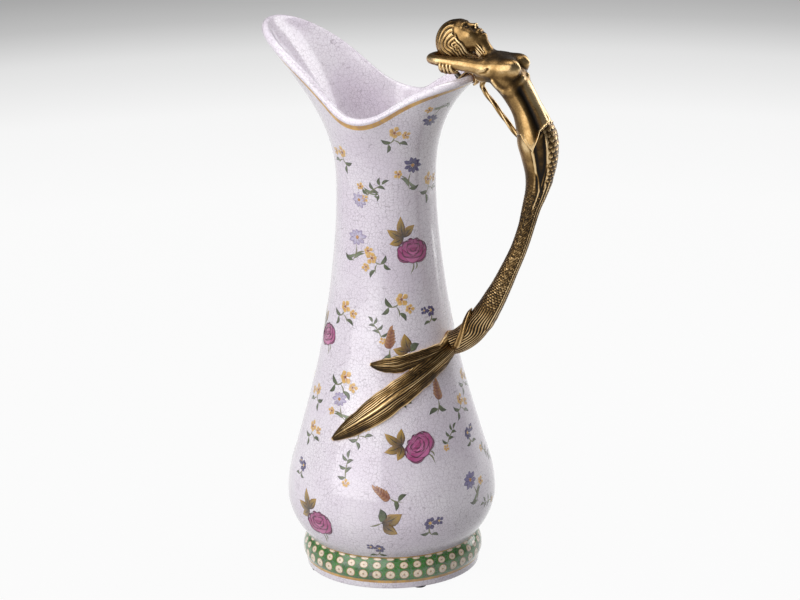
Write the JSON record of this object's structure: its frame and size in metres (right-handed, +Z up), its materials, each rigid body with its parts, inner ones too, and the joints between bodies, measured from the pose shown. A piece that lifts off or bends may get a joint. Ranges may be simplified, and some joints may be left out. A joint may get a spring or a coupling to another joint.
{
  "type": "porcelain jug",
  "caption": "Tall porcelain jug with a flared pouring mouth, round belly, foot ring and a cast bronze mermaid clamped on as its handle.",
  "frame": {"origin": "middle of the footprint box, on the surface that the felt pads stand on", "axes": "+Z up along the jug's turned axis, +X towards the handle, -X towards the spout"},
  "size_m": [0.1962, 0.131, 0.3599],
  "materials": {
    "porcelain": "glossy crackle glaze",
    "bronze": "antiqued bronze, rubbed on the high spots",
    "steel": "plain",
    "cork": "plain cork sheet",
    "rubber": "matt",
    "felt": "pressed felt"
  },
  "bodies": {
    "root": {"porcelain_body": "porcelain", "mermaid_torso": "bronze", "mermaid_head": "bronze", "mermaid_near_arm": "bronze", "mermaid_far_arm": "bronze", "hair_tress": "bronze", "mermaid_tail": "bronze", "fluke_fold": "bronze", "large_fluke": "bronze", "small_fluke": "bronze", "rim_clamp": "bronze", "rim_clamp_liner": "cork", "rim_clamp_screw": "steel", "tail_stud": "steel", "tail_gasket": "cork", "tail_seal": "rubber", "tail_washer": "steel", "tail_nut": "steel", "felt_pad_1": "felt", "felt_pad_2": "felt", "felt_pad_3": "felt", "felt_pad_4": "felt"}
  },
  "joints": []
}
